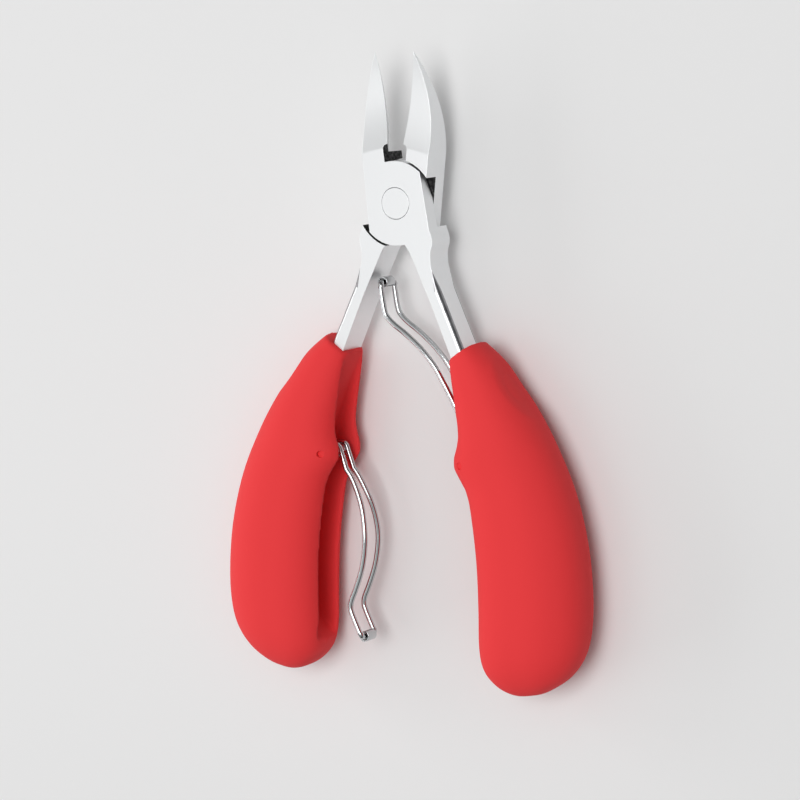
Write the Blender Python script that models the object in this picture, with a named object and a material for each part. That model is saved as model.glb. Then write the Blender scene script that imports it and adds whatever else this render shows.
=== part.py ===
"""Toenail nipper with moulded grips and two flip-over hairpin springs.

The tool lies on its back: +Z is the pivot axis, +Y points at the jaws, X runs across the handles.
Every piece is modelled in the closed pose, in millimetres round the pivot, and is then turned by
half the opening angle about the pivot, so the cutting edges meet on the plane x = 0 when closed.
"""
import math

import bmesh
import bpy
from mathutils import Matrix, Vector

MM = 0.001

# Whole tool
HALF_OPENING = math.radians(8.0)      # each lever, rest pose, away from closed
CLEARANCE = 0.3                       # between pieces that touch or are cast round each other

# Head: two crossed forgings, each cut to half thickness where they lap
HALF_THICKNESS = 3.9
LAP_GAP = 0.3                         # between the two lap faces
DISC_RADIUS = 9.2
POCKET_RADIUS = 9.6
RIVET_RADIUS = 3.4
RIVET_HOLE_RADIUS = 3.46
HEAD_SIDE_TOP = (-6.7, 12.0)
HEAD_SIDE_BOTTOM = (-7.4, -5.5)
LAP_SIDE_TOP = (7.02, 5.95)
LAP_FACET = ((7.02, 5.95, 3.7), (6.04, 5.12, 0.15), (7.24, 0.2, 0.15))   # slope behind that corner
THROAT_X = -1.3
THROAT_TOP = 12.2

# Jaws
TIP_Y = 33.0
EDGE_BASE_Y = 12.9
EDGE_X = -0.15                        # half of the 0.3 mm left between the closed edges
RIDGE_MIDDLE = (-4.4, 23.6)
HOLLOW_RADIUS = 38.0                  # hollow-ground front face
HOLLOW_LOW_Y = 22.5
HOLLOW_LOW_Z = 2.5
HOLLOW_SKEW = 0.13                    # the hollow starts further up beside the cutting edge
BACK_RADIUS = 32.0                    # rounded back of the jaw
BACK_START_Y = 11.0
RELIEF_ANGLE = math.radians(28.0)     # inner face, sloping away behind the cutting edge
JAW_STEPS = 28

# Shank and tang
SHANK_INNER = ((1.0, -9.2), (1.9, -10.6), (5.2, -21.0))
SHANK_OUTER = ((8.0, -19.6), (6.7, -14.6), (7.0, -11.6), (7.9, -9.6), (7.9, -8.0), (7.5, -6.6))
TANG_CENTRE = ((10.4, -33.8), (14.2, -47.0), (17.8, -60.0), (20.2, -73.0), (20.8, -86.0))
TANG_HALF_WIDTH = 1.65

# Grip stations, top to bottom: inner edge (x, y), outer edge (x, y), half thickness
GRIP_STATIONS = (
    ((7.6, -35.0), (14.4, -31.6), 4.9),
    ((7.7, -38.0), (18.6, -36.2), 6.0),
    ((8.0, -42.5), (22.2, -42.0), 7.0),
    ((8.3, -49.5), (26.0, -49.5), 8.0),
    ((8.5, -58.0), (29.4, -58.0), 8.6),
    ((8.9, -68.0), (32.0, -68.0), 8.9),
    ((8.7, -79.0), (33.1, -79.0), 9.0),
    ((7.6, -89.5), (32.6, -89.5), 8.9),
    ((6.5, -97.5), (31.2, -97.0), 8.5),
    ((6.8, -102.6), (29.0, -102.0), 7.6),
    ((9.2, -106.4), (25.4, -105.8), 5.8),
    ((12.4, -108.5), (21.0, -108.1), 3.6),
    ((14.8, -109.0), (18.8, -108.8), 1.6),
)
GRIP_STEPS = 3                        # rings made between two stations
GRIP_SIDES = 28
GRIP_OUTER_POWER = 2.3                # roundness of the palm side
GRIP_INNER_POWER = 3.2                # squarer finger side with two lips
BOSS_Y = -57.5                        # swelling of the lips round the spring pin
BOSS_HEIGHT = 2.5
BOSS_LENGTH = 4.0

# Channel in the finger side of each grip, between the two lips
CHANNEL_HALF_WIDTH = 3.9
CHANNEL_FLOOR = ((7.6, -34.4), (8.2, -35.6), (8.8, -37.2), (9.3, -38.9), (9.9, -41.2), (11.3, -46.0),
                 (13.2, -56.0), (14.8, -68.0), (15.2, -82.0), (14.2, -91.5), (11.2, -97.2), (7.0, -100.2))

# Spring, its pin and its sleeve
PIN_PLACE = (9.6, -57.4)
PIN_RADIUS = 0.7
PIN_HALF_LENGTH = 6.9
PIN_HOLE_RADIUS = 0.78
PIN_HOLE_HALF_LENGTH = 12.0
WIRE_RADIUS = 0.6
EYE_RADIUS = 1.55                     # wire centre round the pin
EYE_TURN = math.radians(265.0)
EYE_HALF_GAP = 1.5                    # wire centre from the middle plane, at the eyes
LEG_HALF_GAP = 2.9                    # the same at the sleeve
SPREAD_START = 5.0                    # the legs spread between these distances from the pin
SPREAD_END = 21.0
CORNER_RADIUS = 1.0
SLEEVE_RADIUS = 1.2
SLEEVE_BORE = 0.85
SLEEVE_HALF_LENGTH = 1.7
SLEEVE_SLOT = math.radians(24.0)

# Each hairpin: pin axis to sleeve axis, direction of that reach in the closed frame, and the points
# its leg runs through, along the reach and to the side it bows to
RIGHT_REACH = 44.0
RIGHT_ANGLE = math.radians(112.2)
RIGHT_ROUTE = ((5.0, 1.4), (9.5, 2.3), (14.0, 2.8), (18.0, 3.0), (22.0, 2.9), (26.3, 2.0), (29.2, 1.0),
               (31.8, -0.1), (34.2, -1.3), (36.5, -2.1), (38.4, -2.0), (43.0, -0.3))
LEFT_REACH = 41.9
LEFT_ANGLE = math.radians(-71.9)
LEFT_ROUTE = ((4.5, 2.3), (6.4, 3.3), (9.5, 4.3), (13.1, 5.1), (16.7, 5.3), (20.3, 5.0), (23.8, 4.1),
              (27.3, 2.7), (31.0, 0.6), (33.3, -0.9), (34.8, -1.5), (36.5, -1.4), (40.9, -0.2))

STEEL = (0.86, 0.87, 0.88, 1.0)
WIRE_STEEL = (0.55, 0.56, 0.57, 1.0)
RED = (0.80, 0.03, 0.035, 1.0)


def material(name, colour, roughness, metallic):
    made = bpy.data.materials.new(name)
    made.use_nodes = True
    shader = made.node_tree.nodes["Principled BSDF"]
    shader.inputs["Base Color"].default_value = colour
    shader.inputs["Roughness"].default_value = roughness
    shader.inputs["Metallic"].default_value = metallic
    return made


def arc(centre, radius, start, end, steps):
    """Points of a circular arc, angles in degrees, both ends included."""
    points = []
    for step in range(steps + 1):
        angle = math.radians(start + (end - start) * step / steps)
        points.append((centre[0] + radius * math.cos(angle), centre[1] + radius * math.sin(angle)))
    return points


def arc_through(start, middle, end, steps):
    """Points of the circular arc that passes through three points."""
    ax, ay = start
    bx, by = middle
    cx, cy = end
    d = 2 * (ax * (by - cy) + bx * (cy - ay) + cx * (ay - by))
    a2, b2, c2 = ax * ax + ay * ay, bx * bx + by * by, cx * cx + cy * cy
    ox = (a2 * (by - cy) + b2 * (cy - ay) + c2 * (ay - by)) / d
    oy = (a2 * (cx - bx) + b2 * (ax - cx) + c2 * (bx - ax)) / d
    radius = math.hypot(ax - ox, ay - oy)
    first = math.degrees(math.atan2(ay - oy, ax - ox))
    last = math.degrees(math.atan2(cy - oy, cx - ox))
    turn = (last - first + 180) % 360 - 180
    return arc((ox, oy), radius, first, first + turn, steps)


def smooth(points, steps):
    """A Catmull-Rom curve through points of any dimension, ends included."""
    made = []
    for index in range(len(points) - 1):
        p0 = points[max(index - 1, 0)]
        p1 = points[index]
        p2 = points[index + 1]
        p3 = points[min(index + 2, len(points) - 1)]
        for step in range(steps):
            t = step / steps
            made.append(tuple(
                0.5 * (2 * b + (c - a) * t + (2 * a - 5 * b + 4 * c - d) * t * t
                       + (3 * b - a - 3 * c + d) * t ** 3)
                for a, b, c, d in zip(p0, p1, p2, p3)))
    made.append(tuple(points[-1]))
    return made


def offset(points, distance):
    """A plan curve moved sideways by distance, to the left of its direction."""
    made = []
    for index, point in enumerate(points):
        before = Vector(points[max(index - 1, 0)])
        after = Vector(points[min(index + 1, len(points) - 1)])
        along = (after - before).normalized()
        made.append((point[0] - along.y * distance, point[1] + along.x * distance))
    return made


def finish_mesh(name, bm):
    bmesh.ops.recalc_face_normals(bm, faces=bm.faces)
    mesh = bpy.data.meshes.new(name)
    bm.to_mesh(mesh)
    bm.free()
    return mesh


def add_object(name, mesh, parent=None, look=None):
    made = bpy.data.objects.new(name, mesh)
    bpy.context.scene.collection.objects.link(made)
    made.parent = parent
    if look:
        mesh.materials.append(look)
    return made


def add_cutter(name, mesh, parent):
    made = add_object(name, mesh, parent)
    made.hide_render = True
    made.display_type = "WIRE"
    return made


def cut(target, cutter):
    """Take the cutter away from the target with a live Boolean."""
    modifier = target.modifiers.new("cut_" + cutter.name, "BOOLEAN")
    modifier.operation = "DIFFERENCE"
    modifier.solver = "EXACT"
    modifier.object = cutter


def prism(name, outline, z_low, z_high, mirror=1.0):
    """A plan outline in millimetres, extruded along Z; mirror -1 reflects it in x = 0."""
    bm = bmesh.new()
    floor = [bm.verts.new((mirror * x * MM, y * MM, z_low * MM)) for x, y in outline]
    face = bm.faces.new(floor)
    grown = bmesh.ops.extrude_face_region(bm, geom=[face])
    top = [item for item in grown["geom"] if isinstance(item, bmesh.types.BMVert)]
    bmesh.ops.translate(bm, verts=top, vec=(0, 0, (z_high - z_low) * MM))
    return finish_mesh(name, bm)


def cylinder(name, place, radius, z_low, z_high, sides, mirror=1.0):
    bm = bmesh.new()
    bmesh.ops.create_cone(bm, cap_ends=True, segments=sides, radius1=radius * MM, radius2=radius * MM,
                          depth=(z_high - z_low) * MM)
    middle = (mirror * place[0] * MM, place[1] * MM, (z_low + z_high) / 2 * MM)
    bmesh.ops.translate(bm, verts=bm.verts, vec=middle)
    return finish_mesh(name, bm)


def loft(name, sections, mirror=1.0):
    """Closed solid through sections that hold the same number of (x, y, z) points."""
    bm = bmesh.new()
    rings = [[bm.verts.new((mirror * x * MM, y * MM, z * MM)) for x, y, z in ring] for ring in sections]
    for low, high in zip(rings, rings[1:]):
        for index in range(len(low)):
            other = (index + 1) % len(low)
            bm.faces.new((low[index], low[other], high[other], high[index]))
    bm.faces.new(rings[0])
    bm.faces.new(rings[-1])
    return finish_mesh(name, bm)


def hollow_z(y):
    """Height of the hollow-ground front face, beside the cutting edge."""
    return HOLLOW_LOW_Z + (y - HOLLOW_LOW_Y) ** 2 / (2 * HOLLOW_RADIUS)


def back_z(y):
    """Height of the rounded back of the jaw."""
    return -HALF_THICKNESS + max(y - BACK_START_Y, 0.0) ** 2 / (2 * BACK_RADIUS)


def tang_side(distance):
    return offset(smooth(TANG_CENTRE, 4), distance)


def lever_outline():
    """Plan of one lever: jaw to the left of the pivot, handle to the right."""
    disc_low = math.degrees(math.atan2(HEAD_SIDE_BOTTOM[1], HEAD_SIDE_BOTTOM[0])) % 360
    disc_crotch = math.degrees(math.atan2(SHANK_INNER[0][1], SHANK_INNER[0][0])) % 360
    disc_right = math.degrees(math.atan2(LAP_SIDE_TOP[1], LAP_SIDE_TOP[0]))
    disc_throat = math.degrees(math.acos(THROAT_X / DISC_RADIUS))
    points = arc_through((EDGE_X, TIP_Y), RIDGE_MIDDLE, HEAD_SIDE_TOP, 10)
    points += arc((0, 0), DISC_RADIUS, disc_low, disc_crotch, 10)
    points += SHANK_INNER[1:]
    points += tang_side(-TANG_HALF_WIDTH)
    points += reversed(tang_side(TANG_HALF_WIDTH))
    points += SHANK_OUTER
    points += arc((0, 0), DISC_RADIUS, disc_right, disc_throat, 10)
    points += [(THROAT_X, THROAT_TOP), (THROAT_X + 0.4, EDGE_BASE_Y - 0.2), (EDGE_X, EDGE_BASE_Y)]
    return points


def jaw_stations():
    """Places along the cutting edge where the hollow and the relief face share an edge."""
    first = HOLLOW_LOW_Y - math.sqrt(2 * HOLLOW_RADIUS * (HALF_THICKNESS - HOLLOW_LOW_Z))
    return [first + (TIP_Y + 0.7 - first) * step / JAW_STEPS for step in range(JAW_STEPS + 1)]


def front_cutter_sections():
    """Everything in front of the hollow; its base line is skewed across the jaw."""
    sections = []
    for x in (1.0, -9.0):
        ring = []
        for y in jaw_stations():
            ring.append((x, y + HOLLOW_SKEW * (x - EDGE_X), hollow_z(y)))
        last = ring[-1][1]
        first = ring[0][1]
        ring += [(x, last, HALF_THICKNESS + 4), (x, first, HALF_THICKNESS + 4)]
        sections.append(ring)
    return sections


def back_cutter_sections():
    sections = []
    for x in (1.0, -9.0):
        ring = []
        for step in range(17):
            y = BACK_START_Y + 0.5 + (TIP_Y + 1.0 - BACK_START_Y) * step / 16
            ring.append((x, y, back_z(y)))
        ring += [(x, TIP_Y + 1.5, -HALF_THICKNESS - 2), (x, BACK_START_Y + 0.5, -HALF_THICKNESS - 2)]
        sections.append(ring)
    return sections


def relief_cutter_sections():
    """Everything inside the relief face, which starts at the cutting edge and slopes away behind it."""
    slope = math.tan(RELIEF_ANGLE)
    sections = []
    for y in [THROAT_TOP - 1.0] + jaw_stations():
        edge = min(hollow_z(y), HALF_THICKNESS)
        depth = edge + HALF_THICKNESS + 1
        sections.append([(EDGE_X, y, edge), (EDGE_X - depth * slope, y, edge - depth),
                         (2.0, y, edge - depth), (2.0, y, edge)])
    return sections


def facet_cutter_sections(side):
    """Everything outside the slope that clears the corner of the lap."""
    corner, low_top, low_side = (Vector(point) for point in LAP_FACET)
    normal = (low_top - corner).cross(low_side - corner)
    sections = []
    for z in (-1.0, HALF_THICKNESS + 0.5):
        ring = []
        for y in (9.0, -3.0):
            x = corner.x - (normal.y * (y - corner.y) + normal.z * (z - corner.z)) / normal.x
            ring.append((x, y, side * z))
        ring += [(12.0, -3.0, side * z), (12.0, 9.0, side * z)]
        sections.append(ring)
    return sections


def lever(name, side, frame, look):
    """side +1: lap in front, handle at +X. side -1: the mirror image with its lap behind."""
    body = add_object(name, prism(name, lever_outline(), -HALF_THICKNESS, HALF_THICKNESS, side), frame, look)
    overlap = 1.0
    if side > 0:
        pocket = (-HALF_THICKNESS - overlap, LAP_GAP / 2)
    else:
        pocket = (-LAP_GAP / 2, HALF_THICKNESS + overlap)
    cutters = (
        cylinder(name + "_lap_pocket", (0, 0), POCKET_RADIUS, pocket[0], pocket[1], 64),
        cylinder(name + "_rivet_hole", (0, 0), RIVET_HOLE_RADIUS, -HALF_THICKNESS - overlap,
                 HALF_THICKNESS + overlap, 48),
        loft(name + "_hollow", front_cutter_sections(), side),
        loft(name + "_back", back_cutter_sections(), side),
        loft(name + "_relief", relief_cutter_sections(), side),
        loft(name + "_facet", facet_cutter_sections(side), side),
    )
    for mesh in cutters:
        cut(body, add_cutter(mesh.name, mesh, frame))
    return body


def boss(y):
    return BOSS_HEIGHT * math.exp(-((y - BOSS_Y) / BOSS_LENGTH) ** 2)


def grip_sections():
    flat = [inner + outer + (half,) for inner, outer, half in GRIP_STATIONS]
    sections = []
    for xi, yi, xo, yo, half in smooth(flat, GRIP_STEPS):
        xi -= boss(yi)
        middle = Vector(((xi + xo) / 2, (yi + yo) / 2, 0))
        reach = Vector(((xo - xi) / 2, (yo - yi) / 2, 0))
        ring = []
        for index in range(GRIP_SIDES):
            angle = 2 * math.pi * index / GRIP_SIDES
            c, s = math.cos(angle), math.sin(angle)
            power = GRIP_OUTER_POWER if c >= 0 else GRIP_INNER_POWER
            across = math.copysign(abs(c) ** (2 / power), c)
            up = math.copysign(abs(s) ** (2 / power), s)
            ring.append(tuple(middle + reach * across + Vector((0, 0, half * up))))
        sections.append(ring)
    return sections


def channel_outline():
    floor = smooth(CHANNEL_FLOOR, 3)
    return floor + [(-2.0, CHANNEL_FLOOR[-1][1]), (-2.0, CHANNEL_FLOOR[0][1])]


def tang_pocket_outline():
    top_inner = (SHANK_INNER[2][0] - CLEARANCE, SHANK_INNER[2][1])
    top_outer = (SHANK_OUTER[0][0] + CLEARANCE, SHANK_OUTER[0][1])
    inner = tang_side(-TANG_HALF_WIDTH - CLEARANCE)
    outer = tang_side(TANG_HALF_WIDTH + CLEARANCE)
    end_x, end_y = TANG_CENTRE[-1]
    bottom = [(outer[-1][0], end_y - CLEARANCE), (inner[-1][0], end_y - CLEARANCE)]
    return [top_outer] + outer[:-1] + bottom + list(reversed(inner[:-1])) + [top_inner]


def grip(name, side, frame, look):
    body = add_object(name, loft(name, grip_sections(), side), frame, look)
    pocket_half = HALF_THICKNESS + CLEARANCE
    cutters = (
        prism(name + "_channel", channel_outline(), -CHANNEL_HALF_WIDTH, CHANNEL_HALF_WIDTH, side),
        prism(name + "_tang_pocket", tang_pocket_outline(), -pocket_half, pocket_half, side),
        cylinder(name + "_pin_hole", PIN_PLACE, PIN_HOLE_RADIUS, -PIN_HOLE_HALF_LENGTH,
                 PIN_HOLE_HALF_LENGTH, 16, side),
    )
    for mesh in cutters:
        cut(body, add_cutter(mesh.name, mesh, frame))
    return body


def leg_gap(distance):
    """Half the spacing of the legs at a distance from the pin, opening smoothly."""
    t = min(max((distance - SPREAD_START) / (SPREAD_END - SPREAD_START), 0.0), 1.0)
    return EYE_HALF_GAP + (LEG_HALF_GAP - EYE_HALF_GAP) * t * t * (3 - 2 * t)


def spring_route(route, reach):
    """Centre line of the hairpin: eye, leg, cross piece, leg, eye; the pin is at the origin."""
    first = Vector(route[0])
    lean = math.atan2(first.y, first.x)
    touch = lean + math.acos(EYE_RADIUS / first.length)
    eye = []
    turns = 14
    for step in range(turns + 1):
        angle = touch + EYE_TURN * (1 - step / turns)
        eye.append((EYE_RADIUS * math.cos(angle), EYE_RADIUS * math.sin(angle)))
    plan = eye + smooth(route, 3)
    leg = [Vector((x, y, leg_gap(x))) for x, y in plan]
    corner = []
    for step in range(1, 5):
        angle = math.pi / 2 * step / 4
        corner.append(Vector((reach - CORNER_RADIUS + CORNER_RADIUS * math.sin(angle), 0,
                              LEG_HALF_GAP - CORNER_RADIUS + CORNER_RADIUS * math.cos(angle))))
    half = leg + corner
    mirrored = [Vector((p.x, p.y, -p.z)) for p in reversed(half)]
    return half + mirrored


def spring(name, points, bow, frame, look):
    """A wire along the points. bow +1 bulges to the left of its direction, -1 to the right."""
    curve = bpy.data.curves.new(name, "CURVE")
    curve.dimensions = "3D"
    curve.bevel_depth = WIRE_RADIUS * MM
    curve.bevel_resolution = 2
    curve.use_fill_caps = True
    spline = curve.splines.new("POLY")
    spline.points.add(len(points) - 1)
    for point, place in zip(spline.points, points):
        point.co = (place.x * MM, bow * place.y * MM, place.z * MM, 1)
    return add_object(name, curve, frame, look)


def sleeve(name, frame, look):
    """Split tube that rolls on the cross piece of a spring."""
    steps = 22
    start = SLEEVE_SLOT / 2
    sweep = 2 * math.pi - SLEEVE_SLOT
    outer = []
    inner = []
    for step in range(steps + 1):
        angle = start + sweep * step / steps
        outer.append((SLEEVE_RADIUS * math.cos(angle), SLEEVE_RADIUS * math.sin(angle)))
        inner.append((SLEEVE_BORE * math.cos(angle), SLEEVE_BORE * math.sin(angle)))
    mesh = prism(name, outer + inner[::-1], -SLEEVE_HALF_LENGTH, SLEEVE_HALF_LENGTH)
    return add_object(name, mesh, frame, look)


def empty(name, parent, place=(0, 0, 0), turn=0.0):
    made = bpy.data.objects.new(name, None)
    bpy.context.scene.collection.objects.link(made)
    made.parent = parent
    made.location = [value * MM for value in place]
    made.rotation_euler = (0, 0, turn)
    return made


def spring_set(side_name, side, lever_frame, steel, wire):
    """Pin, hairpin and sleeve of one handle; hairpin and sleeve hang on an empty at the pin."""
    if side > 0:
        route, reach, angle = RIGHT_ROUTE, RIGHT_REACH, RIGHT_ANGLE
    else:
        route, reach, angle = LEFT_ROUTE, LEFT_REACH, LEFT_ANGLE
    place = (side * PIN_PLACE[0], PIN_PLACE[1], 0)
    add_object(side_name + "_spring_pin",
               cylinder(side_name + "_spring_pin", PIN_PLACE, PIN_RADIUS, -PIN_HALF_LENGTH,
                        PIN_HALF_LENGTH, 16, side), lever_frame, steel)
    swing = empty(side_name + "_spring_swing", lever_frame, place, angle)
    spring(side_name + "_spring", spring_route(route, reach), -side, swing, wire)
    tip = empty(side_name + "_sleeve_axis", swing, (reach, 0, 0))
    sleeve(side_name + "_spring_sleeve", tip, wire)


def centre_on_floor(root):
    """Move the root so that the middle of the bounding box's underside is the origin."""
    bpy.context.view_layer.update()
    graph = bpy.context.evaluated_depsgraph_get()
    corners = []
    for item in bpy.context.scene.objects:
        if item.type in {"MESH", "CURVE"} and not item.hide_render:
            shape = item.evaluated_get(graph)
            mesh = shape.to_mesh()
            corners += [shape.matrix_world @ vertex.co for vertex in mesh.vertices]
            shape.to_mesh_clear()
    low = [min(point[axis] for point in corners) for axis in range(3)]
    high = [max(point[axis] for point in corners) for axis in range(3)]
    root.location = (-(low[0] + high[0]) / 2, -(low[1] + high[1]) / 2, -low[2])


def build():
    for item in list(bpy.data.objects):
        bpy.data.objects.remove(item, do_unlink=True)
    forged = material("forged_steel", STEEL, 0.18, 1.0)
    wire = material("spring_wire", WIRE_STEEL, 0.15, 1.0)
    rubber = material("grip_red", RED, 0.38, 0.0)
    pivot = empty("pivot", None)
    front_frame = empty("front_lever_frame", pivot, turn=HALF_OPENING)
    rear_frame = empty("rear_lever_frame", pivot, turn=-HALF_OPENING)
    lever("front_lever", 1, front_frame, forged)
    lever("rear_lever", -1, rear_frame, forged)
    add_object("pivot_rivet", cylinder("pivot_rivet", (0, 0), RIVET_RADIUS, -HALF_THICKNESS,
                                       HALF_THICKNESS, 48), front_frame, forged)
    grip("right_grip", 1, front_frame, rubber)
    grip("left_grip", -1, rear_frame, rubber)
    spring_set("right", 1, front_frame, forged, wire)
    spring_set("left", -1, rear_frame, forged, wire)
    centre_on_floor(pivot)


build()
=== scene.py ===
"""Shown model of a toenail nipper: polished crossed levers, moulded grips, hairpin springs and their sleeves.

Run as a script, it builds every piece round the frame. The panel lists the same steps one by one.
Sizes in this file are millimetres where a name ends in _MM or a table says so, and metres otherwise.
"Closed pose" stands for millimetres round the pivot with the handles shut, +X to the side of the handle.
"""

import math

import bmesh
import bpy
from bpy.props import FloatProperty, FloatVectorProperty, IntProperty, PointerProperty
from mathutils import Matrix, Vector


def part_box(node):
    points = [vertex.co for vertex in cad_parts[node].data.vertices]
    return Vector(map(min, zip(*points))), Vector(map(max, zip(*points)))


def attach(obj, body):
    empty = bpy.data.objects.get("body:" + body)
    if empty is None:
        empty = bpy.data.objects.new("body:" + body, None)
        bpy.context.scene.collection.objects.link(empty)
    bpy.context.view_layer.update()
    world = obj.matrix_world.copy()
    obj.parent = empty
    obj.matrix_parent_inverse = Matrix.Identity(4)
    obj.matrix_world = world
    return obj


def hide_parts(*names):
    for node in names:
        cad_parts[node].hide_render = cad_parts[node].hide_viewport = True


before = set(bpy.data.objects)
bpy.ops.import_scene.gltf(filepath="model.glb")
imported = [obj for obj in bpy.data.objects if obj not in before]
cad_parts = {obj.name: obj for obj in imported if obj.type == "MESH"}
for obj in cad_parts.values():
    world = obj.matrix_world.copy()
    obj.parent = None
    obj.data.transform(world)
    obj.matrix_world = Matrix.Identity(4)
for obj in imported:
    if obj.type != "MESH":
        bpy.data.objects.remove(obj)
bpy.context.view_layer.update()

bl_info = {
    "name": "Toenail Nipper",
    "version": (1, 0, 0),
    "blender": (4, 5, 0),
    "location": "View3D > Sidebar > Nipper",
    "description": "Builds the shown pieces of a toenail nipper and its studio",
    "category": "Object",
}

MM = 0.001


def middle_of(node):
    low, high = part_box(node)
    return (low + high) / 2


PIVOT = middle_of("pivot_rivet")
LEVER_TURN = math.radians(8.0)          # each lever, away from the closed pose
LEVERS = {                              # side: lever node, body it belongs to
    1: ("front_lever", "front_half"),
    -1: ("rear_lever", "rear_half"),
}
HAND = {1: "right", -1: "left"}

# Grip stations, top to bottom, in mm, closed pose: inner edge (x, y), outer edge (x, y), half thickness
GRIP_STATIONS = (
    (7.6, -35.0, 14.4, -31.6, 4.9),
    (7.7, -38.0, 18.6, -36.2, 6.0),
    (8.0, -42.5, 22.2, -42.0, 7.0),
    (8.3, -49.5, 26.0, -49.5, 8.0),
    (8.5, -58.0, 29.4, -58.0, 8.6),
    (8.9, -68.0, 32.0, -68.0, 8.9),
    (8.7, -79.0, 33.1, -79.0, 9.0),
    (7.6, -89.5, 32.6, -89.5, 8.9),
    (6.5, -97.5, 31.2, -97.0, 8.5),
    (6.8, -102.6, 29.0, -102.0, 7.6),
    (9.2, -106.4, 25.4, -105.8, 5.8),
    (12.4, -108.5, 21.0, -108.1, 3.6),
    (14.8, -109.0, 18.8, -108.8, 1.6),
)
RINGS_PER_STATION = 4
RING_SIDES = 48
OUTER_POWER = 2.4                       # how square the oval is, palm side
INNER_POWER = 3.2                       # and finger side
BOSS_Y_MM = -57.5                       # swelling of the lips round the spring pin
BOSS_HEIGHT_MM = 2.5
BOSS_LENGTH_MM = 4.0
CHANNEL_HALF_MM = 3.9
CHANNEL_FLOOR = (                       # x, y in mm, closed pose
    (7.6, -34.4), (8.2, -35.6), (8.8, -37.2), (9.3, -38.9), (9.9, -41.2), (11.3, -46.0), (13.2, -56.0),
    (14.8, -68.0), (15.2, -82.0), (14.2, -91.5), (11.2, -97.2), (7.0, -100.2),
)
CHANNEL_MOUTH_X_MM = -2.0
CHANNEL_STEPS = 3                       # pieces of floor between two of its points
GRIP_SHARP_ANGLE = math.radians(50.0)
THUMB_CENTRE_MM = (20.5, -43.5, 0.0)
THUMB_HALF_MM = (7.0, 9.0, 5.2)
THUMB_DEPTH_MM = 0.8
THUMB_PUSH = (-0.9, -0.4)               # direction of the push, x and y
THUMB_RIM = 2.2                         # how steeply the rest falls from its rim

PIN_PLACE_MM = (9.6, -57.4)
PIN_HOLE_MM = 0.78
PIN_DIMPLE_Z_MM = 7.1                   # bottom of the dimple over each end of the pin
PIN_DIMPLE_LENGTH_MM = 6.0
EYE_RADIUS_MM = 1.55
EYE_TURN = math.radians(265.0)
EYE_STEPS = 40
EYE_HALF_GAP_MM = 1.5
LEG_HALF_GAP_MM = 2.9
SPREAD_MM = (5.0, 21.0)                 # where the legs start and stop spreading
LEG_STEPS = 6
CORNER_MM = 1.0                         # bend from a leg into the cross piece
CORNER_STEPS = 8

# Side: reach in mm, direction of the reach, and points a leg runs through, in mm from the pin, along the reach
# and to the side that the leg bows to
HAIRPINS = {
    1: (44.0, math.radians(112.2), (
        (5.0, 1.4), (9.5, 2.3), (14.0, 2.8), (18.0, 3.0), (22.0, 2.9), (26.3, 2.0), (29.2, 1.0),
        (31.8, -0.1), (34.2, -1.3), (36.5, -2.1), (38.4, -2.0), (43.0, -0.3))),
    -1: (41.9, math.radians(-71.9), (
        (4.5, 2.3), (6.4, 3.3), (9.5, 4.3), (13.1, 5.1), (16.7, 5.3), (20.3, 5.0), (23.8, 4.1),
        (27.3, 2.7), (31.0, 0.6), (33.3, -0.9), (34.8, -1.5), (36.5, -1.4), (40.9, -0.2))),
}

SLEEVE_SLOT = math.radians(24.0)
SLEEVE_STEPS = 48

# Studio. Camera: where it looks from, round the pivot
VIEW_TURN = math.radians(30.384)
VIEW_RISE = math.radians(8.172)
VIEW_ROLL = math.radians(-0.452)
VIEW_DISTANCE_MM = 699.7
VIEW_SHIFT_MM = (-0.934, -42.84)
VIEW_LENS = 145.47
VIEW_SENSOR = 36.0
SKY_STOPS = ((0.0, 0.25), (0.02, 0.03), (0.40, 0.05), (0.60, 0.46), (1.0, 0.54))    # height, grey
LIGHTS = (                              # name, property of its power, direction, distance, size
    ("softbox", "softbox", (-0.50, -0.14, 0.85), 0.8, (0.42, 0.26)),
    ("key_low", "key", (-0.92, -0.30, 0.25), 0.9, (0.45, 0.45)),
    ("key_high", "key", (-0.92, 0.30, 0.25), 0.9, (0.45, 0.45)),
    ("top", "top", (0.15, 0.10, 0.98), 0.9, (0.45, 0.45)),
)


class NipperSizes(bpy.types.PropertyGroup):
    edge_round: FloatProperty(
        name="Edge rounding", description="Small rounding on the forged edges",
        default=0.09 * MM, min=0.0, unit="LENGTH", precision=5)
    shank_round: FloatProperty(
        name="Shank rounding", description="Rounding along the outside of each shank",
        default=1.1 * MM, min=0.0, unit="LENGTH", precision=5)
    corner_round: FloatProperty(
        name="Shoulder rounding", description="Rounding of the corners between head and shank",
        default=0.7 * MM, min=0.0, unit="LENGTH", precision=5)
    grip_grain: FloatProperty(
        name="Grip mesh size", description="Size of the faces that the moulded grips are made of",
        default=0.4 * MM, min=0.0002, unit="LENGTH", precision=5)
    grip_smoothing: IntProperty(
        name="Grip smoothing", description="Rounds that soften the lips of the moulding",
        default=12, min=0)
    wire_radius: FloatProperty(
        name="Wire radius", description="Half the thickness of the spring wire",
        default=0.6 * MM, min=0.0001, unit="LENGTH", precision=5)
    sleeve_wall: FloatProperty(
        name="Sleeve wall", description="Thickness of the rolled sleeve",
        default=0.35 * MM, min=0.0001, unit="LENGTH", precision=5)


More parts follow.
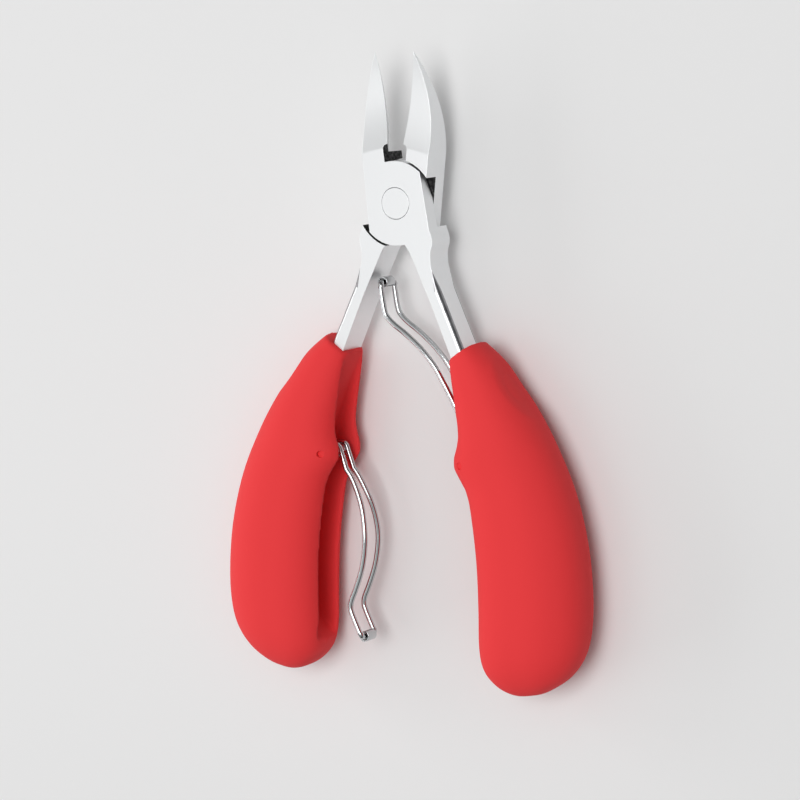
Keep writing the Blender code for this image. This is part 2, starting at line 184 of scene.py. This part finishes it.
class NipperFinish(bpy.types.PropertyGroup):
    steel: FloatVectorProperty(
        name="Forged steel", description="Colour of the polished levers, rivet and pins",
        default=(0.88, 0.885, 0.89), size=3, subtype="COLOR", min=0.0, max=1.0)
    wire: FloatVectorProperty(
        name="Spring wire", description="Colour of the hairpins and sleeves",
        default=(0.74, 0.74, 0.73), size=3, subtype="COLOR", min=0.0, max=1.0)
    grip: FloatVectorProperty(
        name="Grip", description="Colour of the moulded grips",
        default=(0.96, 0.006, 0.012), size=3, subtype="COLOR", min=0.0, max=1.0)


class NipperStudio(bpy.types.PropertyGroup):
    floor: FloatVectorProperty(
        name="Floor", description="Colour of the floor",
        default=(0.80, 0.80, 0.80), size=3, subtype="COLOR", min=0.0, max=1.0)
    softbox: FloatProperty(
        name="Softbox", description="Power of the softbox over the tool, in watts",
        default=0.21, min=0.0)
    key: FloatProperty(
        name="Key lights", description="Power of each of the two lights at the left, in watts",
        default=1.9, min=0.0)
    top: FloatProperty(
        name="Top light", description="Power of the light over the tool, in watts",
        default=3.9, min=0.0)
    sky: FloatProperty(
        name="Room light", description="Strength of the room's own light",
        default=1.0, min=0.0)


# Materials

def new_material(name, colour, metallic, roughness):
    """A Principled material, with the Object coordinates its patterns read."""
    look = bpy.data.materials.new(name)
    look.use_nodes = True
    look.diffuse_color = (*colour, 1.0)
    tree = look.node_tree
    shader = tree.nodes["Principled BSDF"]
    shader.inputs["Base Color"].default_value = (*colour, 1.0)
    shader.inputs["Metallic"].default_value = metallic
    shader.inputs["Roughness"].default_value = roughness
    place = tree.nodes.new("ShaderNodeTexCoord").outputs["Object"]
    return look, tree, shader, place


def noise(tree, place, scale, detail, stretch=(1.0, 1.0, 1.0)):
    """Noise over Object coordinates; stretch multiplies each axis."""
    mapping = tree.nodes.new("ShaderNodeMapping")
    mapping.inputs["Scale"].default_value = stretch
    tree.links.new(place, mapping.inputs["Vector"])
    made = tree.nodes.new("ShaderNodeTexNoise")
    made.inputs["Scale"].default_value = scale
    made.inputs["Detail"].default_value = detail
    tree.links.new(mapping.outputs["Vector"], made.inputs["Vector"])
    return made.outputs["Fac"]


def ramp(tree, value, low, high):
    """Spread a noise value from low to high."""
    made = tree.nodes.new("ShaderNodeMapRange")
    made.inputs["From Min"].default_value = 0.3
    made.inputs["From Max"].default_value = 0.7
    made.inputs["To Min"].default_value = low
    made.inputs["To Max"].default_value = high
    tree.links.new(value, made.inputs["Value"])
    return made.outputs["Result"]


def tint(tree, value, dark, light):
    """A colour between dark and light."""
    made = tree.nodes.new("ShaderNodeMix")
    made.data_type = "RGBA"
    made.inputs["A"].default_value = (*dark, 1.0)
    made.inputs["B"].default_value = (*light, 1.0)
    tree.links.new(value, made.inputs["Factor"])
    return made.outputs["Result"]


def bump(tree, shader, height, distance, strength):
    made = tree.nodes.new("ShaderNodeBump")
    made.inputs["Distance"].default_value = distance
    made.inputs["Strength"].default_value = strength
    tree.links.new(height, made.inputs["Height"])
    tree.links.new(made.outputs["Normal"], shader.inputs["Normal"])


def material_of(name):
    """The named finish, made on first use."""
    if name not in bpy.data.materials:
        MAKERS[name](name)
    return bpy.data.materials[name]


def make_forged_steel(name):
    """Satin-polished steel with fine polishing lines along the tool and faint cloudiness."""
    colour = bpy.context.scene.nipper_finish.steel
    look, tree, shader, place = new_material(name, colour, 1.0, 0.2)
    lines = noise(tree, place, 900.0, 3.0, (1.0, 0.06, 1.0))
    clouds = noise(tree, place, 160.0, 4.0)
    tree.links.new(ramp(tree, clouds, 0.13, 0.22), shader.inputs["Roughness"])
    pale = tuple(min(1.0, channel * 1.03) for channel in colour)
    dull = tuple(channel * 0.95 for channel in colour)
    tree.links.new(tint(tree, ramp(tree, clouds, 0.0, 1.0), dull, pale), shader.inputs["Base Color"])
    bump(tree, shader, lines, 0.004 * MM, 0.35)


def make_scale_and_painted_shade(name):
    """Dark forging scale with bare specks, used as painted shade on the lap faces, the pocket's wall and the
    throat, recesses that lie in shade.
    """
    look, tree, shader, place = new_material(name, (0.03, 0.03, 0.032), 0.7, 0.55)
    specks = noise(tree, place, 1400.0, 4.0)
    tree.links.new(tint(tree, ramp(tree, specks, -0.6, 1.0), (0.012, 0.012, 0.013), (0.13, 0.13, 0.13)),
                   shader.inputs["Base Color"])
    tree.links.new(ramp(tree, specks, 0.68, 0.42), shader.inputs["Roughness"])
    bump(tree, shader, specks, 0.05 * MM, 0.6)


def make_painted_dark_reflection(name):
    """Steel darkened as a painted dark reflection on the roundings along the shanks' outer edges, with a
    cloudy tone.
    """
    look, tree, shader, place = new_material(name, (0.30, 0.30, 0.31), 1.0, 0.3)
    clouds = noise(tree, place, 400.0, 4.0)
    tree.links.new(tint(tree, ramp(tree, clouds, 0.0, 1.0), (0.22, 0.22, 0.23), (0.36, 0.36, 0.37)),
                   shader.inputs["Base Color"])
    tree.links.new(ramp(tree, clouds, 0.26, 0.36), shader.inputs["Roughness"])


def make_spring_wire(name):
    """Bright drawn wire with fine scratches round it."""
    colour = bpy.context.scene.nipper_finish.wire
    look, tree, shader, place = new_material(name, colour, 1.0, 0.1)
    scratches = noise(tree, place, 1500.0, 3.0)
    clouds = noise(tree, place, 260.0, 3.0)
    tree.links.new(ramp(tree, clouds, 0.05, 0.15), shader.inputs["Roughness"])
    dull = tuple(channel * 0.82 for channel in colour)
    tree.links.new(tint(tree, ramp(tree, clouds, 0.0, 1.0), dull, colour), shader.inputs["Base Color"])
    bump(tree, shader, scratches, 0.004 * MM, 0.3)


def make_grip_red(name):
    """Moulded elastomer: even red, a fine matt skin and a soft sheen."""
    colour = bpy.context.scene.nipper_finish.grip
    look, tree, shader, place = new_material(name, colour, 0.0, 0.42)
    shader.inputs["Specular IOR Level"].default_value = 0.13
    shader.inputs["Subsurface Weight"].default_value = 0.06
    shader.inputs["Subsurface Radius"].default_value = (1.0, 0.15, 0.1)
    shader.inputs["Subsurface Scale"].default_value = 0.8 * MM
    skin = noise(tree, place, 2600.0, 3.0)
    clouds = noise(tree, place, 90.0, 3.0)
    deep = tuple(channel * 0.90 for channel in colour)
    tree.links.new(tint(tree, ramp(tree, clouds, 0.0, 1.0), deep, colour), shader.inputs["Base Color"])
    tree.links.new(ramp(tree, clouds, 0.38, 0.47), shader.inputs["Roughness"])
    bump(tree, shader, skin, 0.012 * MM, 0.35)


def make_floor(name):
    colour = bpy.context.scene.nipper_studio.floor
    look, tree, shader, place = new_material(name, colour, 0.0, 0.8)
    grain = noise(tree, place, 300.0, 2.0)
    tree.links.new(ramp(tree, grain, 0.75, 0.85), shader.inputs["Roughness"])


MAKERS = {
    "forged_steel": make_forged_steel,
    "forged_scale": make_scale_and_painted_shade,
    "edge_steel": make_painted_dark_reflection,
    "spring_wire": make_spring_wire,
    "grip_red": make_grip_red,
    "studio_floor": make_floor,
}


# Shapes

def closed_to_world(side):
    """Where a lever's closed-pose millimetres lie at rest, in metres, with +X the side of its handle."""
    return (Matrix.Translation(PIVOT) @ Matrix.Rotation(side * LEVER_TURN, 4, "Z")
            @ Matrix.Diagonal((side * MM, MM, MM, 1.0)))


def smooth_curve(points, steps):
    """A Catmull-Rom curve through points of any dimension, ends included."""
    made = []
    for index in range(len(points) - 1):
        p0 = points[max(index - 1, 0)]
        p1 = points[index]
        p2 = points[index + 1]
        p3 = points[min(index + 2, len(points) - 1)]
        for step in range(steps):
            t = step / steps
            made.append(tuple(
                0.5 * (2 * b + (c - a) * t + (2 * a - 5 * b + 4 * c - d) * t * t
                       + (3 * b - a - 3 * c + d) * t ** 3)
                for a, b, c, d in zip(p0, p1, p2, p3)))
    made.append(tuple(points[-1]))
    return made


SHARP_ANGLE = math.radians(36.0)


def mesh_of(bm, name, crisp=()):
    """Turn a bmesh into a smooth-shaded mesh, with its sharp edges and the crisp ones marked."""
    for face in bm.faces:
        face.smooth = True
    for edge in bm.edges:
        edge.smooth = edge.calc_face_angle(0.0) < SHARP_ANGLE
    for edge in crisp:
        edge.smooth = False
    mesh = bpy.data.meshes.new(name)
    bm.to_mesh(mesh)
    bm.free()
    return mesh


def temporary(mesh):
    made = bpy.data.objects.new(mesh.name, mesh)
    bpy.context.scene.collection.objects.link(made)
    return made


def baked(work, name):
    """The mesh that a working object's modifiers give; the object goes."""
    bpy.context.view_layer.update()
    mesh = bpy.data.meshes.new_from_object(work.evaluated_get(bpy.context.evaluated_depsgraph_get()))
    mesh.name = name
    bpy.data.objects.remove(work, do_unlink=True)
    return mesh


def show(name, data, finish, node, body, others=()):
    """Put a finished piece in place of a CAD node; faces with a higher material index take other finishes."""
    if name in bpy.data.objects:
        bpy.data.objects.remove(bpy.data.objects[name], do_unlink=True)
    made = bpy.data.objects.new(name, data)
    bpy.context.scene.collection.objects.link(made)
    for each in (finish, *others):
        data.materials.append(material_of(each))
    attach(made, body)
    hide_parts(node)
    return made


def weighted(piece):
    """Flat faces stay flat and the small roundings shade evenly."""
    modifier = piece.modifiers.new("flat_faces", "WEIGHTED_NORMAL")
    modifier.keep_sharp = True
    modifier.weight = 50
    return piece


def sharp_edges(bm, least):
    return [edge for edge in bm.edges if edge.is_manifold and edge.calc_face_angle(0.0) > least]


def round_edges(bm, edges, width, segments, clamp=True):
    """Round edges, and give the faces of the roundings."""
    made = bmesh.ops.bevel(bm, geom=edges, offset=width, offset_type="OFFSET", affect="EDGES",
                           segments=segments, profile=0.5, material=-1, clamp_overlap=clamp)
    bm.normal_update()
    return made["faces"]


# Levers, in mm, closed pose
WELD_MM = 0.05
FLAT_ANGLE = math.radians(0.6)          # faces that meet at less than this become one
UPRIGHT_MM = 0.05
LEVEL_MM = 0.02
FACE_Z_MM = 3.7                         # the outer faces lie beyond this height
CORNER_ANGLE = math.radians(8.0)
CORNER_Y_MM = (-22.0, -7.0)             # shoulder corners between head and shank
CORNER_RADIUS_MM = 9.7                  # and beyond the pocket
STRIP_ANGLE = math.radians(60.0)
STRIP_Y_MM = (-34.0, -15.0)             # upper ends of the edges rounded along the outside of the shank
SHANK_LINE_MM = (1.66, -0.2586)         # middle of the shank: x = first + second * y
STRIP_FACING = 0.85                     # faces of that rounding get the painted dark reflection unless they face up more than this
BROKEN_ANGLE = math.radians(50.0)
BROKEN_MM = 0.05                        # shorter edges stay sharp
JAW_FOOT_MM = 13.4                      # the cutting edge starts above this
CUTTING_X_MM = 0.35                     # and lies within this
HOLLOW_BASE_MM = (11.0, 12.6)           # where the hollow's base line crosses the jaw
HOLLOW_ANGLES = (math.radians(8.0), math.radians(20.0))
HOLLOW_FACE_Z_MM = 3.8
FAINT_ANGLE = math.radians(5.0)
LAP_Z_MM = 0.3
POCKET_RADII_MM = (9.45, 9.75)          # on both sides of the pocket's wall
THROAT_MM = (-1.4, 9.0, 12.95)          # its side, its foot and its top


def shank_strips(bm, inward):
    """Level edges along the outside of the shank, front and back."""
    strips = []
    for edge in sharp_edges(bm, STRIP_ANGLE):
        a, b = (inward @ vert.co for vert in edge.verts)
        outer = all(p.x > SHANK_LINE_MM[0] + SHANK_LINE_MM[1] * p.y for p in (a, b))
        level = abs(a.z - b.z) < LEVEL_MM and abs(a.z) > FACE_Z_MM
        if level and outer and STRIP_Y_MM[0] < max(a.y, b.y) < STRIP_Y_MM[1]:
            strips.append(edge)
    return strips


def round_shank(bm, inward, width):
    """Round the outside of the shank, from a point at the shoulder to the full width; its sideways faces get
    darkened steel as a painted dark reflection.
    """
    strips = shank_strips(bm, inward)
    starts = []
    for front in (1, -1):
        line = [vert.co for edge in strips for vert in edge.verts if (inward @ vert.co).z * front > 0]
        starts.append(max(line, key=lambda place: (inward @ place).y).copy())
    made = round_edges(bm, strips, width, 4, clamp=False)
    for face in made:
        # Painted reflection: sideways faces of the rounding take darkened steel.
        if abs(face.normal.z) < STRIP_FACING:
            face.material_index = 2
    around = list(dict.fromkeys(vert for face in made for vert in face.verts))
    upper_ends = [[vert for vert in around if (vert.co - start).length < 2 * width] for start in starts]
    for start, verts in zip(starts, upper_ends):
        bmesh.ops.pointmerge(bm, verts=verts, merge_co=start)


def lever_mesh(side, node, sizes):
    """A lever's solid with its shoulders and shank rounded and its edges broken."""
    bm = bmesh.new()
    bm.from_mesh(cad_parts[node].data)
    bmesh.ops.remove_doubles(bm, verts=bm.verts, dist=WELD_MM * MM)
    bmesh.ops.dissolve_limit(bm, angle_limit=FLAT_ANGLE, verts=bm.verts, edges=bm.edges)
    inward = closed_to_world(side).inverted()
    # Painted shade: dark scale on the recessed lap, pocket wall and throat faces.
    for face in bm.faces:
        if shade_painted_on(inward @ face.calc_center_median(), face.normal.z):
            face.material_index = 1

    corners = []
    for edge in sharp_edges(bm, CORNER_ANGLE):
        a, b = (inward @ vert.co for vert in edge.verts)
        upright = (a.xy - b.xy).length < UPRIGHT_MM
        if upright and CORNER_Y_MM[0] < a.y < CORNER_Y_MM[1] and a.xy.length > CORNER_RADIUS_MM:
            corners.append(edge)
    round_edges(bm, corners, sizes.corner_round, 3)
    round_shank(bm, inward, sizes.shank_round)

    broken = []
    for edge in sharp_edges(bm, BROKEN_ANGLE):
        a, b = (inward @ vert.co for vert in edge.verts)
        cutting = min(a.y, b.y) > JAW_FOOT_MM and max(abs(a.x), abs(b.x)) < CUTTING_X_MM
        if not cutting and edge.calc_length() > BROKEN_MM * MM:
            broken.append(edge)
    round_edges(bm, broken, sizes.edge_round, 3, clamp=False)
    return mesh_of(bm, node + "_polished", crisp_edges(bm, inward))


def shade_painted_on(middle, up):
    """Whether a face gets the dark scale of painted shade: the lap face, the pocket's wall and the throat,
    left as forged and lying in shade.
    """
    lap = abs(up) > 0.99 and abs(middle.z) < LAP_Z_MM
    pocket_wall = abs(up) < 0.3 and POCKET_RADII_MM[0] < middle.xy.length < POCKET_RADII_MM[1]
    throat = abs(up) < 0.5 and THROAT_MM[0] < middle.x < 0.0 and THROAT_MM[1] < middle.y < THROAT_MM[2]
    return lap or pocket_wall or throat


def crisp_edges(bm, inward):
    """Edges that shading must not run over: the hollow's base line, and where the cutting edge starts."""
    crisp = []
    for vert in bm.verts:
        hard = [edge for edge in vert.link_edges if edge.calc_face_angle(0.0) > BROKEN_ANGLE]
        if len(hard) == 1:
            crisp += [edge for edge in vert.link_edges if edge.calc_face_angle(0.0) > FAINT_ANGLE]
    for edge in bm.edges:
        a, b = (inward @ vert.co for vert in edge.verts)
        crosses = HOLLOW_BASE_MM[0] < min(a.y, b.y) and max(a.y, b.y) < HOLLOW_BASE_MM[1]
        long = edge.calc_length() > 1.0 * MM and min(a.z, b.z) > HOLLOW_FACE_Z_MM
        if crosses and long and HOLLOW_ANGLES[0] < edge.calc_face_angle(0.0) < HOLLOW_ANGLES[1]:
            crisp.append(edge)
    return crisp


class NIPPER_OT_levers(bpy.types.Operator):
    """Polished levers, from their solids"""
    bl_idname = "nipper.levers"
    bl_label = "Levers"

    def execute(self, context):
        sizes = context.scene.nipper_sizes
        for side, (node, body) in LEVERS.items():
            mesh = lever_mesh(side, node, sizes)
            weighted(show(mesh.name, mesh, "forged_steel", node, body, ("forged_scale", "edge_steel")))
        return {"FINISHED"}


RIM_ANGLE = math.radians(60.0)


def rod(node, rim, segments, name):
    """A node's round rod along Z, with its rims rounded."""
    low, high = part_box(node)
    bm = bmesh.new()
    radius = (high.x - low.x) / 2
    bmesh.ops.create_cone(bm, cap_ends=True, segments=segments, radius1=radius, radius2=radius,
                          depth=high.z - low.z, matrix=Matrix.Translation((low + high) / 2))
    round_edges(bm, sharp_edges(bm, RIM_ANGLE), rim, 3)
    return mesh_of(bm, name)


class NIPPER_OT_rivet(bpy.types.Operator):
    """Flush pivot rivet"""
    bl_idname = "nipper.rivet"
    bl_label = "Rivet"

    def execute(self, context):
        mesh = rod("pivot_rivet", 0.1 * MM, 96, "flush_rivet")
        weighted(show(mesh.name, mesh, "forged_steel", "pivot_rivet", LEVERS[1][1]))
        return {"FINISHED"}


class NIPPER_OT_pins(bpy.types.Operator):
    """Pins that hold the hairpins in the grips"""
    bl_idname = "nipper.pins"
    bl_label = "Spring pins"

    def execute(self, context):
        for side, (node, body) in LEVERS.items():
            pin = HAND[side] + "_spring_pin"
            mesh = rod(pin, 0.15 * MM, 32, HAND[side] + "_round_pin")
            weighted(show(mesh.name, mesh, "forged_steel", pin, body))
        return {"FINISHED"}


def ring(bm, xi, yi, xo, yo, half):
    """One oval ring of the moulding, squarer on the finger side."""
    boss = BOSS_HEIGHT_MM * math.exp(-((yi - BOSS_Y_MM) / BOSS_LENGTH_MM) ** 2)
    inner = Vector((xi - boss, yi, 0.0))
    outer = Vector((xo, yo, 0.0))
    made = bmesh.ops.create_circle(bm, segments=RING_SIDES, radius=1.0)["verts"]
    for vert in made:
        power = OUTER_POWER if vert.co.x >= 0 else INNER_POWER
        across = math.copysign(abs(vert.co.x) ** (2 / power), vert.co.x)
        up = math.copysign(abs(vert.co.y) ** (2 / power), vert.co.y)
        vert.co = (inner + outer) / 2 + (outer - inner) / 2 * across + Vector((0, 0, half * up))
    return list({edge for vert in made for edge in vert.link_edges})


def moulding_mesh(side):
    """Grip body before its channel: rings joined into one closed skin."""
    bm = bmesh.new()
    loops = [ring(bm, *station) for station in smooth_curve(GRIP_STATIONS, RINGS_PER_STATION)]
    for upper, lower in zip(loops, loops[1:]):
        bmesh.ops.bridge_loops(bm, edges=upper + lower)
    bmesh.ops.holes_fill(bm, edges=loops[0] + loops[-1], sides=RING_SIDES)
    bmesh.ops.transform(bm, matrix=closed_to_world(side), verts=bm.verts)
    bmesh.ops.recalc_face_normals(bm, faces=bm.faces)
    return mesh_of(bm, "moulding")


def channel_mesh(side):
    """The space that the hairpin folds into."""
    bm = bmesh.new()
    floor = smooth_curve(CHANNEL_FLOOR, CHANNEL_STEPS)
    outline = floor + [(CHANNEL_MOUTH_X_MM, floor[-1][1]), (CHANNEL_MOUTH_X_MM, floor[0][1])]
    face = bm.faces.new([bm.verts.new((x, y, -CHANNEL_HALF_MM)) for x, y in outline])
    grown = bmesh.ops.extrude_face_region(bm, geom=[face])
    top = [item for item in grown["geom"] if isinstance(item, bmesh.types.BMVert)]
    bmesh.ops.translate(bm, verts=top, vec=(0, 0, 2 * CHANNEL_HALF_MM))
    bmesh.ops.transform(bm, matrix=closed_to_world(side), verts=bm.verts)
    bmesh.ops.recalc_face_normals(bm, faces=bm.faces)
    return mesh_of(bm, "channel")


def pin_dimple_mesh(side):
    """Two blind dimples, front and back, over the ends of the hidden pin."""
    bm = bmesh.new()
    for face in (1, -1):
        place = Matrix.Translation((*PIN_PLACE_MM, face * (PIN_DIMPLE_Z_MM + PIN_DIMPLE_LENGTH_MM / 2)))
        bmesh.ops.create_cone(bm, cap_ends=True, segments=32, radius1=PIN_HOLE_MM, radius2=PIN_HOLE_MM,
                              depth=PIN_DIMPLE_LENGTH_MM, matrix=closed_to_world(side) @ place)
    bmesh.ops.recalc_face_normals(bm, faces=bm.faces)
    return mesh_of(bm, "pin_dimples")


def press_thumb_rest(mesh, side):
    """Push a shallow oval rest into the palm side, below the cuff."""
    to_world = closed_to_world(side)
    inward = to_world.inverted()
    for vert in mesh.vertices:
        place = inward @ vert.co
        away = Vector((place[axis] - THUMB_CENTRE_MM[axis]) / THUMB_HALF_MM[axis] for axis in range(3))
        if away.length < 1.0:
            depth = THUMB_DEPTH_MM * min(1.0, THUMB_RIM * (1.0 - away.length))
            place.xy += Vector(THUMB_PUSH) * depth
            vert.co = to_world @ place


def cut_away(work, cutter):
    modifier = work.modifiers.new("cut", "BOOLEAN")
    modifier.operation = "DIFFERENCE"
    modifier.solver = "EXACT"
    modifier.object = cutter


class NIPPER_OT_grips(bpy.types.Operator):
    """Moulded grips with their channels, lips and thumb rests"""
    bl_idname = "nipper.grips"
    bl_label = "Grips"

    def execute(self, context):
        sizes = context.scene.nipper_sizes
        for side, (node, body) in LEVERS.items():
            grip = HAND[side] + "_grip"
            work = temporary(moulding_mesh(side))
            channel = temporary(channel_mesh(side))
            dimples = temporary(pin_dimple_mesh(side))
            cut_away(work, channel)
            skin = work.modifiers.new("skin", "REMESH")
            skin.mode = "VOXEL"
            skin.voxel_size = sizes.grip_grain
            soften = work.modifiers.new("soften", "SMOOTH")
            soften.factor = 0.5
            soften.iterations = sizes.grip_smoothing
            cut_away(work, dimples)
            mesh = baked(work, grip + "_moulded")
            for cutter in (channel, dimples):
                bpy.data.objects.remove(cutter, do_unlink=True)
            press_thumb_rest(mesh, side)
            mesh.shade_smooth()
            mesh.set_sharp_from_angle(angle=GRIP_SHARP_ANGLE)
            show(mesh.name, mesh, "grip_red", grip, body)
        return {"FINISHED"}


def half_gap(distance):
    """Half the spacing of a hairpin's legs, at a distance from the pin."""
    t = min(max((distance - SPREAD_MM[0]) / (SPREAD_MM[1] - SPREAD_MM[0]), 0.0), 1.0)
    return EYE_HALF_GAP_MM + (LEG_HALF_GAP_MM - EYE_HALF_GAP_MM) * t * t * (3 - 2 * t)


def hairpin_points(side):
    """Middle of the wire, eye to eye, round the pin."""
    reach, _, route = HAIRPINS[side]
    first = Vector(route[0])
    touch = math.atan2(first.y, first.x) + math.acos(EYE_RADIUS_MM / first.length)
    eye = []
    for step in range(EYE_STEPS):
        turn = touch + EYE_TURN * (1 - step / EYE_STEPS)
        eye.append((EYE_RADIUS_MM * math.cos(turn), EYE_RADIUS_MM * math.sin(turn)))
    leg = [Vector((x, y, half_gap(x))) for x, y in eye + smooth_curve(route, LEG_STEPS)]
    corner = []
    for step in range(1, CORNER_STEPS + 1):
        turn = math.pi / 2 * step / CORNER_STEPS
        corner.append(Vector((reach - CORNER_MM + CORNER_MM * math.sin(turn), 0.0,
                              LEG_HALF_GAP_MM - CORNER_MM + CORNER_MM * math.cos(turn))))
    half = leg + corner
    return half + [Vector((p.x, p.y, -p.z)) for p in reversed(half)]


def hairpin_to_world(side):
    """Millimetres from the pin, along the reach, to metres at rest."""
    angle = HAIRPINS[side][1]
    turn = angle if side > 0 else math.pi - angle
    return (closed_to_world(side) @ Matrix.Translation((*PIN_PLACE_MM, 0.0))
            @ Matrix.Rotation(turn, 4, "Z") @ Matrix.Diagonal((1.0, -1.0, 1.0, 1.0)))


class NIPPER_OT_springs(bpy.types.Operator):
    """Wire hairpins"""
    bl_idname = "nipper.springs"
    bl_label = "Hairpin springs"

    def execute(self, context):
        for side in LEVERS:
            name = HAND[side] + "_hairpin_wire"
            curve = bpy.data.curves.new(name, "CURVE")
            curve.dimensions = "3D"
            curve.bevel_depth = context.scene.nipper_sizes.wire_radius
            curve.bevel_resolution = 5
            curve.use_fill_caps = True
            to_world = hairpin_to_world(side)
            points = hairpin_points(side)
            spline = curve.splines.new("POLY")
            spline.points.add(len(points) - 1)
            for point, place in zip(spline.points, points):
                point.co = (*(to_world @ place), 1.0)
            show(name, curve, "spring_wire", HAND[side] + "_spring", HAND[side] + "_hairpin")
        return {"FINISHED"}


class NIPPER_OT_sleeves(bpy.types.Operator):
    """Split sleeves that roll on the hairpins' ends"""
    bl_idname = "nipper.sleeves"
    bl_label = "Sleeves"

    def execute(self, context):
        wall = context.scene.nipper_sizes.sleeve_wall
        for side in LEVERS:
            node = HAND[side] + "_spring_sleeve"
            low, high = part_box(node)
            centre = (low + high) / 2
            outer = (high.y - low.y) / 2
            bm = bmesh.new()
            corners = ((outer - wall, low.z), (outer, low.z), (outer, high.z), (outer - wall, high.z))
            slot = hairpin_to_world(side).to_euler().z + SLEEVE_SLOT / 2
            across = Vector((math.cos(slot), math.sin(slot), 0.0))
            face = bm.faces.new([bm.verts.new(Vector((centre.x, centre.y, z)) + across * r)
                                 for r, z in corners])
            bmesh.ops.spin(bm, geom=[face], cent=centre, axis=(0, 0, 1), dvec=(0, 0, 0),
                           angle=2 * math.pi - SLEEVE_SLOT, steps=SLEEVE_STEPS, use_duplicate=False)
            bmesh.ops.recalc_face_normals(bm, faces=bm.faces)
            round_edges(bm, sharp_edges(bm, RIM_ANGLE), 0.08 * MM, 3)
            mesh = mesh_of(bm, HAND[side] + "_split_sleeve")
            weighted(show(mesh.name, mesh, "spring_wire", node, HAND[side] + "_roller"))
        return {"FINISHED"}


def camera_axes():
    """Right, up and backward directions of the camera."""
    back = Vector((math.sin(VIEW_TURN) * math.cos(VIEW_RISE), math.sin(VIEW_RISE),
                   math.cos(VIEW_TURN) * math.cos(VIEW_RISE)))
    right = Vector((0, 1, 0)).cross(back).normalized()
    up = back.cross(right)
    roll = Matrix.Rotation(VIEW_ROLL, 3, back)
    return roll @ right, roll @ up, back


def area_light(name, direction, distance, size, power):
    """A soft rectangular light, aimed at the middle of the tool."""
    lamp = bpy.data.lights.new(name, "AREA")
    lamp.shape = "RECTANGLE"
    lamp.size = size[0]
    lamp.size_y = size[1]
    lamp.energy = power
    made = bpy.data.objects.new(name, lamp)
    bpy.context.scene.collection.objects.link(made)
    away = Vector(direction).normalized()
    made.location = away * distance
    made.rotation_mode = "QUATERNION"
    made.rotation_quaternion = away.to_track_quat("Z", "Y")


class NIPPER_OT_stage(bpy.types.Operator):
    """Floor, lights and camera"""
    bl_idname = "nipper.stage"
    bl_label = "Studio"

    def execute(self, context):
        studio = context.scene.nipper_studio
        scene = context.scene
        scene.view_settings.view_transform = "Standard"
        bm = bmesh.new()
        bmesh.ops.create_grid(bm, x_segments=1, y_segments=1, size=3.0,
                              matrix=Matrix.Translation((0, 0, -0.05 * MM)))
        floor = bpy.data.objects.new("floor", mesh_of(bm, "floor"))
        scene.collection.objects.link(floor)
        floor.data.materials.append(material_of("studio_floor"))

        world = bpy.data.worlds.new("room")
        world.use_nodes = True
        scene.world = world
        tree = world.node_tree
        place = tree.nodes.new("ShaderNodeTexCoord").outputs["Generated"]
        split = tree.nodes.new("ShaderNodeSeparateXYZ")
        tree.links.new(place, split.inputs["Vector"])
        shades = tree.nodes.new("ShaderNodeValToRGB")
        elements = shades.color_ramp.elements
        while len(elements) < len(SKY_STOPS):
            elements.new(0.5)
        for element, (position, grey) in zip(elements, SKY_STOPS):
            element.position = position
            element.color = (grey, grey, grey, 1.0)
        tree.links.new(split.outputs["Z"], shades.inputs["Fac"])
        sky = tree.nodes["Background"]
        tree.links.new(shades.outputs["Color"], sky.inputs["Color"])
        sky.inputs["Strength"].default_value = studio.sky

        for name, power, direction, distance, size in LIGHTS:
            area_light(name, direction, distance, size, getattr(studio, power))

        right, up, back = camera_axes()
        lens = bpy.data.cameras.new("camera")
        lens.lens = VIEW_LENS
        lens.sensor_width = VIEW_SENSOR
        lens.clip_start = 0.01
        lens.clip_end = 10.0
        camera = bpy.data.objects.new("camera", lens)
        scene.collection.objects.link(camera)
        spot = PIVOT + (right * VIEW_SHIFT_MM[0] + up * VIEW_SHIFT_MM[1] + back * VIEW_DISTANCE_MM) * MM
        camera.matrix_world = (Matrix.Translation(spot)
                               @ Matrix((right, up, back)).transposed().to_4x4())
        scene.camera = camera
        return {"FINISHED"}


class NIPPER_PT_panel(bpy.types.Panel):
    """Steps and sizes of the nipper"""
    bl_label = "Toenail Nipper"
    bl_idname = "NIPPER_PT_panel"
    bl_space_type = "VIEW_3D"
    bl_region_type = "UI"
    bl_category = "Nipper"

    def draw(self, context):
        for step in STEPS:
            self.layout.operator(step.bl_idname)
        for group in (context.scene.nipper_sizes, context.scene.nipper_finish, context.scene.nipper_studio):
            box = self.layout.box()
            for key in group.bl_rna.properties.keys():
                if key not in {"rna_type", "name"}:
                    box.prop(group, key)


STEPS = (NIPPER_OT_levers, NIPPER_OT_rivet, NIPPER_OT_pins, NIPPER_OT_grips, NIPPER_OT_springs,
         NIPPER_OT_sleeves, NIPPER_OT_stage)
GROUPS = {"nipper_sizes": NipperSizes, "nipper_finish": NipperFinish, "nipper_studio": NipperStudio}


def register():
    for name, group in GROUPS.items():
        bpy.utils.register_class(group)
        setattr(bpy.types.Scene, name, PointerProperty(type=group))
    for step in STEPS:
        bpy.utils.register_class(step)
    bpy.utils.register_class(NIPPER_PT_panel)


def unregister():
    bpy.utils.unregister_class(NIPPER_PT_panel)
    for step in reversed(STEPS):
        bpy.utils.unregister_class(step)
    for name, group in GROUPS.items():
        delattr(bpy.types.Scene, name)
        bpy.utils.unregister_class(group)


def main():
    register()
    bpy.ops.nipper.levers()
    bpy.ops.nipper.rivet()
    bpy.ops.nipper.pins()
    bpy.ops.nipper.grips()
    bpy.ops.nipper.springs()
    bpy.ops.nipper.sleeves()
    bpy.ops.nipper.stage()


if __name__ == "__main__":
    main()
